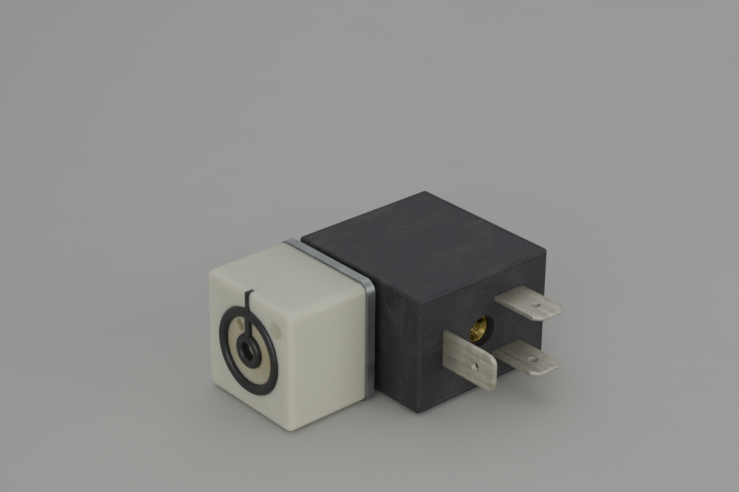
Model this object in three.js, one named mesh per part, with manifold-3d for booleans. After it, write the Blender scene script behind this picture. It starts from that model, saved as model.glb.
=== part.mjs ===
// Small two-way solenoid valve: moulded valve body with a face seal, steel flange, guide tube with
// plunger, and an encapsulated coil with blade terminals that is held on the tube by a nut.
// Units are millimetres. While it is being built, x = 0 is the coil's front face, +X runs along the
// valve axis towards the coil's rear, y = z = 0 is the valve axis and the terminals point to -Y.
// The finished group stands on z = 0 with its origin under the middle of its bounding box.
import * as THREE from "three";
import { mergeVertices } from "three/addons/utils/BufferGeometryUtils.js";
import Module from "manifold-3d";

// Clearances
const mouldedFit = 0.05; // round pieces that plastic is moulded around
const rubberFit = 0.05; // beside a seal in its groove
const tubeInBobbin = 0.1;
const plungerInTube = 0.08; // radial running clearance
const threadFit = 0.05; // between the plain cylinders that stand for mating threads
const flangeSideFit = 0.1; // around the tube's flange and collar
const springFit = 0.23; // around the spring in its bore
const screwHoleFit = 0.35; // around the screws in the flange
const screwHeadFit = 0.31; // between the screw heads and the coil

// Coil housing
const coilLength = 27.95;
const coilHeight = 20.4;
const axisToTerminalFace = 19.2;
const axisToFarFace = 10.17;
const coilEdgeRadius = 0.8;
const coilCornerEase = 0.15; // extra radius where three edges meet
const housingEndWall = 1.2;
const housingSideWall = 1.1;
const housingTopWall = 2.8;
const ejectorMarkRadius = 2.1;
const ejectorMarkDepth = 0.1;
const ejectorMarkY = -12;
const ejectorMarkFromEdge = 3.1;

// Magnetic circuit and winding
const yokeThickness = 1.5;
const yokeInnerBend = 0.4;
const bobbinWall = 0.6;
const bobbinFlangeThickness = 0.8;
const windingInset = 0.25; // the winding stops this far short of the bobbin flange's rim

// Blade terminals, all of the 6.3 mm size
const bladeWidth = 6.3;
const bladeThickness = 0.8;
const bladeBevel = 0.14;
const bladeHoleRadius = 0.7;
const earthReach = 11.3;
const earthHoleFromFace = 7.1;
const earthTipRadius = 1.5;
const earthFromFront = 5.15;
const powerReach = 9.8;
const powerHoleFromFace = 5.95;
const powerTipChamfer = 1.3;
const powerToYoke = 2.1; // plastic between the power blades and the yoke
const powerCentreX = 19.3;
const powerSpacing = 10;

// Threaded insert for the plug's centre screw
const insertCentreX = 13.65;
const insertRecessStep = 0.2;
const insertRecessDepth = 1.2;
const insertRadius = 2.4;
const insertLength = 5.5;
const insertThreadRadius = 1.25;
const insertCountersink = 0.75;
const insertEndWall = 0.6;
const insertGrooveDepth = 0.3;
const insertGrooveLength = 1.4;

// Flange and its screws
const plateOverhang = 0.35; // beyond the valve body's sides
const plateThickness = 1.6;
const plateCornerRadius = 2;
const plateEdgeBreak = 0.12;
const screwSpacing = 13.8;
const screwToSide = 3.55; // from a screw's axis to the valve body's side
const screwThreadRadius = 1.25;
const screwPointRadius = 0.625;
const screwPointLength = 1.1;
const screwTipGap = 0.15;
const screwTipCover = 1.3; // plastic left between the screw holes and the port face
const screwHeadRadius = 2.7;
const screwCrownRadius = 1.95;
const screwHeadHeight = 1.45;
const screwHeadShoulder = 0.6;
const screwHeadBulge = 0.12;
const screwDriveLength = 2.5;
const screwDriveWidth = 0.55;
const screwDriveDepth = 0.85;

// Valve body
const bodyLength = 15.2;
const bodyCornerRadius = 1.4;
const bodyFaceFillet = 0.8;
const chamberFloorThickness = 5.5;
const chamberRoom = 1.3; // around the guide tube's outside
const nozzleHeight = 1.2;
const nozzleLipWidth = 0.45;
const nozzleFlare = 0.85;
const orificeRadius = 1;
const inletRadius = 0.95;
const inletBreakthrough = 0.5; // how far the inlet runs on into the chamber
const inletAngle = 56; // degrees about the axis, from +Y towards +Z
const faceRecessDepth = 0.3; // of the land between the two seal rings
const faceHubWidth = 0.25; // of the raised hub around the inner seal ring

// Port seal: two concentric rings and a rib, moulded in one piece
const sealOuterRadius = 7.35;
const sealOuterWidth = 1.65;
const sealInnerRadius = 2.9;
const sealInnerWidth = 1.5;
const sealShoulder = 0.5;
const sealProud = 0.5;
const sealGrooveDepth = 1.2;
const ribRootWidth = 1.05;
const ribEndWidth = 0.65;
const ribProud = 0.25;

// Guide tube, fixed core and what moves inside them
const tubeOuterRadius = 4;
const tubeWall = 0.42;
const tubeFlangeThickness = 1.2;
const tubeCollarWidth = 1.4;
const bodySealWidth = 1.3;
const bodySealHeight = 1.2;
const bodySealRounding = 0.3;
const tubeShortOfRear = 2;
const coreShortOfRear = 0.5;
const studRadius = 2.95;
const studProud = 0.7; // beyond the nut
const studChamfer = 0.5;
const coreInTube = 0.02;
const shadingWidth = 0.8;
const shadingToTube = 0.61;
const shadingDepth = 0.9;
const plungerLength = 22.2;
const plungerChamfer = 0.4;
const plungerSlotWidth = 1.3;
const plungerSlotDepth = 0.55;
const stroke = 0.8;
const residualGap = 0.02; // left between plunger and core at full stroke
const springBoreDepth = 9.4;
const springCoilRadius = 1.35;
const springWireRadius = 0.17;
const springTurns = 9;
const discOverNozzle = 0.3;
const discThickness = 1.3;
const discBossHeight = 0.5;
const discLip = 0.35;

// Nut and lock washer at the rear
const washerThickness = 0.8;
const washerSeat = 0.8; // width of the ring on which the washer meets the housing
const washerSplit = 0.7;
const nutOverWasher = 0.1;
const nutThickness = 2.6;

// Facets
const roundSegments = 36;
const smallSegments = 18;
const springSteps = 10; // in each turn of the spring
const weld = 1e-4;
const past = 1; // how far a cutting shape runs on beyond the surface it opens

// Places and sizes that follow from the ones above
const coilGap = screwHeadHeight + screwHeadFit;
const bodySide = screwSpacing + 2 * screwToSide;
const plateSide = bodySide + 2 * plateOverhang;
const plateBack = -coilGap;
const plateFront = plateBack - plateThickness;
const portFace = plateFront - bodyLength;
const chamberFloor = portFace + chamberFloorThickness;
const seatPlane = chamberFloor + nozzleHeight;
const plungerFront = seatPlane + discBossHeight - discLip;
const plungerBack = plungerFront + plungerLength;
const coreFace = plungerBack + stroke + residualGap;
const tubeRear = coilLength - tubeShortOfRear;
const tubeBore = tubeOuterRadius - tubeWall;
const tubeCollarRadius = tubeOuterRadius + tubeCollarWidth;
const chamberRadius = tubeOuterRadius + chamberRoom;
const tubeFlangeRadius = chamberRadius + bodySealWidth;
const bodySealFront = plateFront - tubeFlangeThickness - bodySealHeight;
const plungerRadius = tubeBore - plungerInTube;
const plugRadius = tubeBore - coreInTube;
const shadingOuterRadius = plugRadius - shadingToTube;
const shadingInnerRadius = shadingOuterRadius - shadingWidth;
const springBoreRadius = springCoilRadius + springWireRadius + springFit;
const nozzleLipRadius = orificeRadius + nozzleLipWidth;
const discBossRadius = nozzleLipRadius + discOverNozzle;
const discRadius = discBossRadius + discLip;
const sealLandOuter = sealOuterRadius - sealOuterWidth;
const inletFromAxis = (sealInnerRadius + sealLandOuter) / 2;
const coilBore = tubeOuterRadius + tubeInBobbin;
const coilCornerRadius = coilEdgeRadius + coilCornerEase;
const yokeHalfSpan = axisToFarFace - housingSideWall;
const yokeHalfHeight = coilHeight / 2 - housingTopWall;
const yokeBendRadius = yokeThickness + yokeInnerBend;
const yokeFront = housingEndWall + mouldedFit;
const yokeBack = coilLength - housingEndWall - mouldedFit;
const bobbinFront = yokeFront + yokeThickness + mouldedFit;
const bobbinBack = yokeBack - yokeThickness - mouldedFit;
const bobbinRadius = Math.min(yokeHalfSpan - yokeThickness, yokeHalfHeight) - mouldedFit;
const powerEmbed = axisToTerminalFace - yokeHalfSpan - powerToYoke;
const screwTip = portFace + screwTipCover;
const screwHoleRadius = screwThreadRadius + screwHoleFit;
const washerFront = coilLength;
const nutFront = washerFront + washerThickness;
const nutBack = nutFront + nutThickness;
const washerOuterRadius = coilBore + washerSeat;
const nutAcrossFlats = 2 * (washerOuterRadius + nutOverWasher);

const wasm = await Module();
wasm.setup();

// ---------- solids ----------

function solid(geometry) {
  const bare = geometry.index ? geometry.toNonIndexed() : geometry.clone();
  bare.deleteAttribute("normal");
  bare.deleteAttribute("uv");
  const merged = mergeVertices(bare, weld);
  return new wasm.Manifold(
    new wasm.Mesh({
      numProp: 3,
      vertProperties: new Float32Array(merged.attributes.position.array),
      triVerts: new Uint32Array(merged.index.array),
    }),
  );
}

function geometryOf(body) {
  const { vertProperties, triVerts } = body.getMesh();
  const geometry = new THREE.BufferGeometry();
  geometry.setAttribute("position", new THREE.BufferAttribute(vertProperties, 3));
  geometry.setIndex(new THREE.BufferAttribute(triVerts, 1));
  geometry.computeVertexNormals();
  return geometry;
}

function cut(body, ...tools) {
  return tools.reduce((rest, tool) => rest.subtract(solid(tool)), body);
}

// Solid of revolution about the X axis. The profile is a list of [x, radius].
function turned(profile, segments = roundSegments) {
  const points = profile.map(([x, radius]) => new THREE.Vector2(radius, x));
  return new THREE.LatheGeometry(points, segments).rotateZ(-Math.PI / 2);
}

function bar(from, to, radius, segments = roundSegments) {
  return turned([[from, 0], [from, radius], [to, radius], [to, 0]], segments);
}

function ring(from, to, innerRadius, outerRadius) {
  const profile = [
    [from, innerRadius],
    [from, outerRadius],
    [to, outerRadius],
    [to, innerRadius],
    [from, innerRadius],
  ];
  return turned(profile);
}

function box(minX, maxX, minY, maxY, minZ, maxZ) {
  const geometry = new THREE.BoxGeometry(maxX - minX, maxY - minY, maxZ - minZ);
  return geometry.translate((minX + maxX) / 2, (minY + maxY) / 2, (minZ + maxZ) / 2);
}

function roundedRectangle(minU, maxU, minV, maxV, radius) {
  const shape = new THREE.Shape();
  shape.absarc(maxU - radius, minV + radius, radius, -Math.PI / 2, 0);
  shape.absarc(maxU - radius, maxV - radius, radius, 0, Math.PI / 2);
  shape.absarc(minU + radius, maxV - radius, radius, Math.PI / 2, Math.PI);
  shape.absarc(minU + radius, minV + radius, radius, Math.PI, 1.5 * Math.PI);
  shape.closePath();
  return shape;
}

// Extrusion whose end faces are rounded or bevelled by edge without making the outline larger.
function softExtrusion(shape, length, edge, steps, curveSegments) {
  const geometry = new THREE.ExtrudeGeometry(shape, {
    depth: length - 2 * edge,
    bevelThickness: edge,
    bevelSize: edge,
    bevelOffset: -edge,
    bevelSegments: steps,
    curveSegments,
  });
  return geometry.translate(0, 0, edge);
}

// Turns an extrusion of a (Y, Z) outline so that it runs along +X from the given place.
function alongX(geometry, from) {
  const toX = new THREE.Matrix4().makeBasis(
    new THREE.Vector3(0, 1, 0),
    new THREE.Vector3(0, 0, 1),
    new THREE.Vector3(1, 0, 0),
  );
  return geometry.applyMatrix4(toX).translate(from, 0, 0);
}

// ---------- materials ----------

function plastic(color, roughness) {
  return new THREE.MeshStandardMaterial({ color, roughness, metalness: 0 });
}

function metal(color, roughness) {
  return new THREE.MeshStandardMaterial({ color, roughness, metalness: 1 });
}

const assembly = new THREE.Group();

function place(name, body, material) {
  const mesh = new THREE.Mesh(body.isBufferGeometry ? body : geometryOf(body), material);
  mesh.name = name;
  assembly.add(mesh);
}

// ---------- valve body and port seal ----------

function screwPlaces() {
  const half = screwSpacing / 2;
  return [[half, half], [-half, half], [-half, -half], [half, -half]];
}

function inletPlace() {
  const angle = THREE.MathUtils.degToRad(inletAngle);
  return [inletFromAxis * Math.cos(angle), inletFromAxis * Math.sin(angle)];
}

// Tapered rib from the inner ring through the outer ring to the body's top side, seen along X.
function ribShape(extraWidth, top) {
  const bottom = sealInnerRadius - sealInnerWidth / 2;
  const root = ribRootWidth / 2 + extraWidth;
  const end = ribEndWidth / 2 + extraWidth;
  const narrow = (sealOuterRadius + bodySide / 2) / 2;
  const shape = new THREE.Shape();
  shape.moveTo(-root, bottom);
  shape.lineTo(root, bottom);
  shape.lineTo(root, sealOuterRadius);
  shape.quadraticCurveTo(end, sealOuterRadius, end, narrow);
  shape.lineTo(end, top);
  shape.lineTo(-end, top);
  shape.lineTo(-end, narrow);
  shape.quadraticCurveTo(-end, sealOuterRadius, -root, sealOuterRadius);
  shape.closePath();
  return shape;
}

function rib(extraWidth, top, from, to) {
  const options = { depth: to - from, bevelEnabled: false, curveSegments: 4 };
  return alongX(new THREE.ExtrudeGeometry(ribShape(extraWidth, top), options), from);
}

// Shell of the body: rounded square with a filleted port face and a plain face against the flange.
function bodyShell() {
  const half = bodySide / 2;
  const outline = roundedRectangle(-half, half, -half, half, bodyCornerRadius);
  const block = softExtrusion(outline, bodyLength + bodyFaceFillet, bodyFaceFillet, 3, 3);
  const excess = box(plateFront, plateFront + bodyLength, -bodySide, bodySide, -bodySide, bodySide);
  return cut(solid(alongX(block, portFace)), excess);
}

// Chamber under the guide tube: recess for tube flange and seal, then the bore down to the nozzle.
function chamberTool() {
  return turned([
    [chamberFloor, 0],
    [chamberFloor, chamberRadius],
    [bodySealFront, chamberRadius],
    [bodySealFront, tubeFlangeRadius + flangeSideFit],
    [plateFront + past, tubeFlangeRadius + flangeSideFit],
    [plateFront + past, 0],
  ]);
}

function nozzle() {
  const footRadius = nozzleLipRadius + nozzleFlare;
  return turned([
    [chamberFloor - past, 0],
    [chamberFloor - past, footRadius],
    [chamberFloor, footRadius],
    [seatPlane, nozzleLipRadius],
    [seatPlane, 0],
  ]);
}

function sealGrooves() {
  const floor = portFace + sealGrooveDepth;
  const outside = portFace - past;
  return [
    ring(outside, floor, sealLandOuter - rubberFit, sealOuterRadius + rubberFit),
    bar(outside, floor, sealInnerRadius + rubberFit),
    ring(outside, portFace + faceRecessDepth, sealInnerRadius + faceHubWidth, sealLandOuter),
    rib(rubberFit, bodySide / 2 + past, outside, floor),
  ];
}

function makeValveBody() {
  const hollow = cut(bodyShell(), chamberTool()).add(solid(nozzle()));
  const screwHoles = screwPlaces().map(([y, z]) =>
    bar(screwTip, plateFront + past, screwThreadRadius + threadFit, smallSegments).translate(0, y, z),
  );
  const [inletY, inletZ] = inletPlace();
  const orifice = bar(portFace - past, seatPlane + past, orificeRadius, smallSegments);
  const inlet = bar(portFace - past, chamberFloor + inletBreakthrough, inletRadius, smallSegments);
  inlet.translate(0, inletY, inletZ);
  const body = cut(hollow, ...screwHoles, orifice, inlet, ...sealGrooves());
  place("valve_body", body, plastic(0xd9d8c4, 0.45));
}

// Section of a seal ring: flat foot in the groove and a crown with rounded shoulders.
function bead(outerRadius, width) {
  const inner = outerRadius - width;
  const crown = portFace - sealProud;
  const foot = portFace + sealGrooveDepth;
  const path = new THREE.Path();
  path.moveTo(inner + sealShoulder, crown);
  path.lineTo(outerRadius - sealShoulder, crown);
  path.absarc(outerRadius - sealShoulder, crown + sealShoulder, sealShoulder, -Math.PI / 2, 0);
  path.lineTo(outerRadius, foot);
  path.lineTo(inner, foot);
  path.absarc(inner + sealShoulder, crown + sealShoulder, sealShoulder, Math.PI, 1.5 * Math.PI);
  return new THREE.LatheGeometry(path.getPoints(2), roundSegments).rotateZ(-Math.PI / 2);
}

function makePortSeal() {
  const outerRing = solid(bead(sealOuterRadius, sealOuterWidth));
  const innerRing = solid(bead(sealInnerRadius, sealInnerWidth));
  const link = solid(rib(0, bodySide / 2, portFace - ribProud, portFace + sealGrooveDepth));
  place("port_seal", outerRing.add(innerRing).add(link), plastic(0x1b1c1e, 0.6));
}

// ---------- flange, screws and body seal ----------

function makeFlangePlate() {
  const half = plateSide / 2;
  const outline = roundedRectangle(-half, half, -half, half, plateCornerRadius);
  const blank = alongX(softExtrusion(outline, plateThickness, plateEdgeBreak, 1, 5), plateFront);
  const holes = screwPlaces().map(([y, z]) =>
    bar(plateFront - past, plateBack + past, screwHoleRadius, smallSegments).translate(0, y, z),
  );
  const bore = bar(plateFront - past, plateBack + past, tubeCollarRadius + flangeSideFit);
  place("flange_plate", cut(solid(blank), bore, ...holes), metal(0x7d868a, 0.45));
}

function screwProfile() {
  const tip = screwTip + screwTipGap;
  const headTop = plateBack + screwHeadHeight;
  const shoulder = plateBack + screwHeadShoulder;
  const dome = (screwHeadRadius + screwCrownRadius) / 2 + screwHeadBulge;
  return [
    [tip, 0],
    [tip, screwPointRadius],
    [tip + screwPointLength, screwThreadRadius],
    [plateBack, screwThreadRadius],
    [plateBack, screwHeadRadius],
    [shoulder, screwHeadRadius],
    [(shoulder + headTop) / 2, dome],
    [headTop, screwCrownRadius],
    [headTop, 0],
  ];
}

function makeFlangeScrews() {
  const headTop = plateBack + screwHeadHeight;
  const driveFloor = headTop - screwDriveDepth;
  const long = screwDriveLength / 2;
  const thin = screwDriveWidth / 2;
  const crossRecess = [
    box(driveFloor, headTop + past, -long, long, -thin, thin),
    box(driveFloor, headTop + past, -thin, thin, -long, long),
  ];
  const screw = cut(solid(turned(screwProfile(), smallSegments)), ...crossRecess);
  screwPlaces().forEach(([y, z], index) => {
    const body = geometryOf(screw).translate(0, y, z);
    place(`flange_screw_${index + 1}`, body, metal(0xb4b6b5, 0.35));
  });
}

function makeBodySeal() {
  const inner = chamberRadius + rubberFit;
  const outer = tubeFlangeRadius + flangeSideFit - rubberFit;
  const back = bodySealFront + bodySealHeight;
  const edge = bodySealRounding;
  const profile = [
    [bodySealFront, inner + edge],
    [bodySealFront, outer - edge],
    [bodySealFront + edge, outer],
    [back - edge, outer],
    [back, outer - edge],
    [back, inner + edge],
    [back - edge, inner],
    [bodySealFront + edge, inner],
    [bodySealFront, inner + edge],
  ];
  place("body_seal_ring", solid(turned(profile)), plastic(0x1f2022, 0.65));
}

// ---------- guide tube, core, plunger ----------

function makeGuideTube() {
  const flangeFront = plateFront - tubeFlangeThickness;
  const tube = turned([
    [flangeFront, tubeBore],
    [flangeFront, tubeFlangeRadius],
    [plateFront, tubeFlangeRadius],
    [plateFront, tubeCollarRadius],
    [0, tubeCollarRadius],
    [0, tubeOuterRadius],
    [tubeRear, tubeOuterRadius],
    [tubeRear, tubeBore],
    [flangeFront, tubeBore],
  ]);
  place("guide_tube", solid(tube), metal(0xc3c4c2, 0.3));
}

function makeFixedCore() {
  const headBack = coilLength - coreShortOfRear;
  const studEnd = nutBack + studProud;
  const core = turned([
    [coreFace, 0],
    [coreFace, shadingInnerRadius],
    [coreFace + shadingDepth, shadingInnerRadius],
    [coreFace + shadingDepth, shadingOuterRadius],
    [coreFace, shadingOuterRadius],
    [coreFace, plugRadius],
    [tubeRear, plugRadius],
    [tubeRear, tubeOuterRadius],
    [headBack, tubeOuterRadius],
    [headBack, studRadius],
    [studEnd - studChamfer, studRadius],
    [studEnd, studRadius - studChamfer],
    [studEnd, 0],
  ]);
  place("fixed_core", solid(core), metal(0xb0b1b0, 0.35));
}

function makeShadingRing() {
  const below = coreFace + residualGap;
  const shading = ring(
    below,
    coreFace + shadingDepth - residualGap,
    shadingInnerRadius + residualGap,
    shadingOuterRadius - residualGap,
  );
  place("shading_ring", solid(shading), metal(0xb87347, 0.35));
}

// Front pocket holds the seat disc behind a rolled lip, the rear bore holds the return spring.
function plungerProfile() {
  const pocketFloor = plungerFront + discLip + discThickness;
  const boreFloor = plungerBack - springBoreDepth;
  return [
    [pocketFloor, 0],
    [pocketFloor, discRadius],
    [plungerFront + discLip, discRadius],
    [plungerFront + discLip, discBossRadius],
    [plungerFront, discBossRadius],
    [plungerFront, plungerRadius - plungerChamfer],
    [plungerFront + plungerChamfer, plungerRadius],
    [plungerBack - plungerChamfer, plungerRadius],
    [plungerBack, plungerRadius - plungerChamfer],
    [plungerBack, springBoreRadius],
    [boreFloor, springBoreRadius],
    [boreFloor, 0],
  ];
}

function makePlunger() {
  const reach = plungerRadius + past;
  const floor = plungerRadius - plungerSlotDepth;
  const half = plungerSlotWidth / 2;
  const slots = [
    box(plungerFront - past, plungerBack + past, floor, reach, -half, half),
    box(plungerFront - past, plungerBack + past, -reach, -floor, -half, half),
  ];
  place("plunger", cut(solid(turned(plungerProfile())), ...slots), metal(0xa9abab, 0.3));
}

function makeSeatDisc() {
  const shoulder = plungerFront + discLip;
  const back = shoulder + discThickness;
  const disc = turned([
    [seatPlane, 0],
    [seatPlane, discBossRadius - rubberFit],
    [shoulder, discBossRadius - rubberFit],
    [shoulder, discRadius - rubberFit],
    [back, discRadius - rubberFit],
    [back, 0],
  ]);
  place("seat_disc", solid(disc), plastic(0x26272a, 0.6));
}

function makeReturnSpring() {
  const from = plungerBack - springBoreDepth + springWireRadius + residualGap;
  const to = coreFace - springWireRadius - residualGap;
  class Helix extends THREE.Curve {
    getPoint(t, target = new THREE.Vector3()) {
      const angle = t * springTurns * 2 * Math.PI;
      const y = springCoilRadius * Math.cos(angle);
      return target.set(from + t * (to - from), y, springCoilRadius * Math.sin(angle));
    }
  }
  const wire = new THREE.Shape().absarc(0, 0, springWireRadius, 0, 2 * Math.PI);
  const spring = new THREE.ExtrudeGeometry(wire, {
    steps: springTurns * springSteps,
    curveSegments: 3,
    extrudePath: new Helix(),
  });
  place("return_spring", solid(spring), metal(0xc9cac8, 0.25));
}

// ---------- coil ----------

function insertTurned(profile) {
  const geometry = turned(profile, roundSegments).rotateZ(-Math.PI / 2);
  return geometry.translate(insertCentreX, -axisToTerminalFace, 0);
}

// Blade outline: u runs from the terminal face to the tip, v across the blade.
function bladeShape(reach, embed, holeFromFace, tipCorner) {
  const half = bladeWidth / 2;
  const shape = new THREE.Shape();
  shape.moveTo(-embed, -half);
  tipCorner(shape, reach, half);
  shape.lineTo(-embed, half);
  shape.closePath();
  shape.holes.push(new THREE.Path().absarc(holeFromFace, 0, bladeHoleRadius, 0, 2 * Math.PI, true));
  return shape;
}

function roundTip(shape, reach, half) {
  shape.lineTo(reach - earthTipRadius, -half);
  shape.absarc(reach - earthTipRadius, -half + earthTipRadius, earthTipRadius, -Math.PI / 2, 0);
  shape.absarc(reach - earthTipRadius, half - earthTipRadius, earthTipRadius, 0, Math.PI / 2);
}

function chamferTip(shape, reach, half) {
  shape.lineTo(reach - powerTipChamfer, -half);
  shape.lineTo(reach, -half + powerTipChamfer);
  shape.lineTo(reach, half - powerTipChamfer);
  shape.lineTo(reach - powerTipChamfer, half);
}

// Lays a blade outline against the terminal face with its width along the given direction.
function blade(shape, across, centre) {
  const out = new THREE.Vector3(0, -1, 0);
  const through = out.clone().cross(across);
  const geometry = softExtrusion(shape, bladeThickness, bladeBevel, 1, 8);
  geometry.translate(0, 0, -bladeThickness / 2);
  geometry.applyMatrix4(new THREE.Matrix4().makeBasis(out, across, through));
  return geometry.translate(centre.x, -axisToTerminalFace, centre.z);
}

const earthCentre = new THREE.Vector3(earthFromFront + bladeThickness / 2, 0, 0);
const earthEmbed = axisToTerminalFace - yokeHalfSpan;
const powerCentres = [powerSpacing / 2, -powerSpacing / 2].map(
  (z) => new THREE.Vector3(powerCentreX, 0, z),
);

function makeTerminals() {
  const upright = new THREE.Vector3(0, 0, 1);
  const lengthwise = new THREE.Vector3(1, 0, 0);
  const earth = bladeShape(earthReach, earthEmbed, earthHoleFromFace, roundTip);
  place("earth_terminal", solid(blade(earth, upright, earthCentre)), metal(0xb3b1a6, 0.35));
  const power = bladeShape(powerReach, powerEmbed, powerHoleFromFace, chamferTip);
  powerCentres.forEach((centre, index) => {
    const body = solid(blade(power, lengthwise, centre));
    place(`power_terminal_${index + 1}`, body, metal(0xb3b1a6, 0.35));
  });
}

// Slots for the blades, opened from the terminal face inwards.
function terminalSlots() {
  const halfWidth = bladeWidth / 2 + mouldedFit;
  const halfThick = bladeThickness / 2 + mouldedFit;
  const outside = -axisToTerminalFace - past;
  const powerFloor = -axisToTerminalFace + powerEmbed + mouldedFit;
  const { x } = earthCentre;
  const earthSlot = box(
    x - halfThick, x + halfThick, outside, -yokeHalfSpan + mouldedFit, -halfWidth, halfWidth,
  );
  const powerSlots = powerCentres.map(({ x: middle, z }) =>
    box(middle - halfWidth, middle + halfWidth, outside, powerFloor, z - halfThick, z + halfThick),
  );
  return [earthSlot, ...powerSlots];
}

function insertPocket() {
  const bottom = -insertRecessDepth - insertLength - mouldedFit;
  const recessRadius = insertRadius + insertRecessStep;
  return insertTurned([
    [bottom, 0],
    [bottom, insertRadius + mouldedFit],
    [-insertRecessDepth, insertRadius + mouldedFit],
    [-insertRecessDepth, recessRadius],
    [past, recessRadius],
    [past, 0],
  ]);
}

function housingBlock() {
  const half = coilHeight / 2;
  const outline = roundedRectangle(-axisToTerminalFace, axisToFarFace, -half, half, coilCornerRadius);
  return alongX(softExtrusion(outline, coilLength, coilEdgeRadius, 4, 3), 0);
}

function makeCoilHousing() {
  const bore = bar(-past, coilLength + past, coilBore);
  const span = yokeHalfSpan + mouldedFit;
  const high = yokeHalfHeight + mouldedFit;
  const core = box(housingEndWall, coilLength - housingEndWall, -span, span, -high, high);
  const markHeight = coilHeight / 2 - ejectorMarkFromEdge;
  const marks = [markHeight, -markHeight].map((z) =>
    bar(-past, ejectorMarkDepth, ejectorMarkRadius, smallSegments).translate(0, ejectorMarkY, z),
  );
  const tools = [bore, core, ...marks, ...terminalSlots(), insertPocket()];
  place("coil_housing", cut(solid(housingBlock()), ...tools), plastic(0x2c2d30, 0.5));
}

function makeConnectorInsert() {
  const face = -insertRecessDepth;
  const bottom = face - insertLength;
  const middle = (face + bottom) / 2;
  const waist = insertRadius - insertGrooveDepth;
  const insert = insertTurned([
    [bottom, 0],
    [bottom, insertRadius],
    [middle - insertGrooveLength / 2, insertRadius],
    [middle - insertGrooveLength / 2, waist],
    [middle + insertGrooveLength / 2, waist],
    [middle + insertGrooveLength / 2, insertRadius],
    [face, insertRadius],
    [face, insertThreadRadius + insertCountersink],
    [face - insertCountersink, insertThreadRadius],
    [bottom + insertEndWall, insertThreadRadius],
    [bottom + insertEndWall, 0],
  ]);
  place("connector_insert", solid(insert), metal(0xb08d3c, 0.3));
}

// U of bent strip around the winding, open towards the front pole plate.
function yokeShape() {
  const inner = yokeHalfSpan - yokeThickness;
  const innerBend = yokeBendRadius - yokeThickness;
  const shape = new THREE.Shape();
  const bendX = yokeBack - yokeBendRadius;
  const bendY = yokeHalfSpan - yokeBendRadius;
  shape.moveTo(yokeFront, -yokeHalfSpan);
  shape.lineTo(bendX, -yokeHalfSpan);
  shape.absarc(bendX, -bendY, yokeBendRadius, -Math.PI / 2, 0);
  shape.absarc(bendX, bendY, yokeBendRadius, 0, Math.PI / 2);
  shape.lineTo(yokeFront, yokeHalfSpan);
  shape.lineTo(yokeFront, inner);
  shape.absarc(bendX, bendY, innerBend, Math.PI / 2, 0, true);
  shape.absarc(bendX, -bendY, innerBend, 0, -Math.PI / 2, true);
  shape.lineTo(yokeFront, -inner);
  shape.closePath();
  return shape;
}

function makeYoke() {
  const options = { depth: 2 * yokeHalfHeight, bevelEnabled: false, curveSegments: 4 };
  const strip = new THREE.ExtrudeGeometry(yokeShape(), options).translate(0, 0, -yokeHalfHeight);
  const bore = bar(yokeFront - past, yokeBack + past, coilBore);
  place("yoke_frame", cut(solid(strip), bore), metal(0x8d9094, 0.5));
  const inner = yokeHalfSpan - yokeThickness - mouldedFit;
  const back = yokeFront + yokeThickness;
  const plate = box(yokeFront, back, -inner, inner, -yokeHalfHeight, yokeHalfHeight);
  place("pole_plate", cut(solid(plate), bore), metal(0x8d9094, 0.5));
}

function makeBobbinAndWinding() {
  const barrel = coilBore + bobbinWall;
  const frontFlange = bobbinFront + bobbinFlangeThickness;
  const backFlange = bobbinBack - bobbinFlangeThickness;
  const bobbin = turned([
    [bobbinFront, coilBore],
    [bobbinFront, bobbinRadius],
    [frontFlange, bobbinRadius],
    [frontFlange, barrel],
    [backFlange, barrel],
    [backFlange, bobbinRadius],
    [bobbinBack, bobbinRadius],
    [bobbinBack, coilBore],
    [bobbinFront, coilBore],
  ]);
  place("coil_bobbin", solid(bobbin), plastic(0xcfc9b4, 0.5));
  const wound = ring(
    frontFlange + mouldedFit,
    backFlange - mouldedFit,
    barrel + mouldedFit,
    bobbinRadius - windingInset,
  );
  place("coil_winding", solid(wound), metal(0xb26a3a, 0.4));
}

// ---------- rear nut and lock washer ----------

function makeLockWasher() {
  const blank = ring(washerFront, nutFront, studRadius + 2 * threadFit, washerOuterRadius);
  const half = washerSplit / 2;
  const outside = washerOuterRadius + past;
  const split = box(washerFront - past, nutFront + past, -half, half, 0, outside);
  place("lock_washer", cut(solid(blank), split), metal(0xa7a9a8, 0.4));
}

function makeRetainingNut() {
  const corner = nutAcrossFlats / Math.sqrt(3);
  const chamfer = corner - nutAcrossFlats / 2;
  const hexagon = new THREE.CylinderGeometry(corner, corner, nutThickness, 6);
  hexagon.rotateZ(Math.PI / 2).translate((nutFront + nutBack) / 2, 0, 0);
  const slope = chamfer * Math.tan(Math.PI / 6);
  const rounding = turned([
    [nutFront, 0],
    [nutFront, corner - chamfer],
    [nutFront + slope, corner],
    [nutBack - slope, corner],
    [nutBack, corner - chamfer],
    [nutBack, 0],
  ]);
  const bore = bar(nutFront - past, nutBack + past, studRadius + threadFit);
  const nut = cut(solid(hexagon).intersect(solid(rounding)), bore);
  place("retaining_nut", nut, metal(0xb6b8b7, 0.35));
}

makeValveBody();
makePortSeal();
makeFlangePlate();
makeFlangeScrews();
makeBodySeal();
makeGuideTube();
makeFixedCore();
makeShadingRing();
makePlunger();
makeSeatDisc();
makeReturnSpring();
makeCoilHousing();
makeTerminals();
makeConnectorInsert();
makeYoke();
makeBobbinAndWinding();
makeLockWasher();
makeRetainingNut();

const bounds = new THREE.Box3().setFromObject(assembly);
const middle = bounds.getCenter(new THREE.Vector3());
assembly.position.set(-middle.x, -middle.y, -bounds.min.z);

const valve = new THREE.Group();
valve.add(assembly);

export default valve;
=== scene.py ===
import math

import bmesh
import bpy
from mathutils import Matrix, Quaternion, Vector


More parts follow.
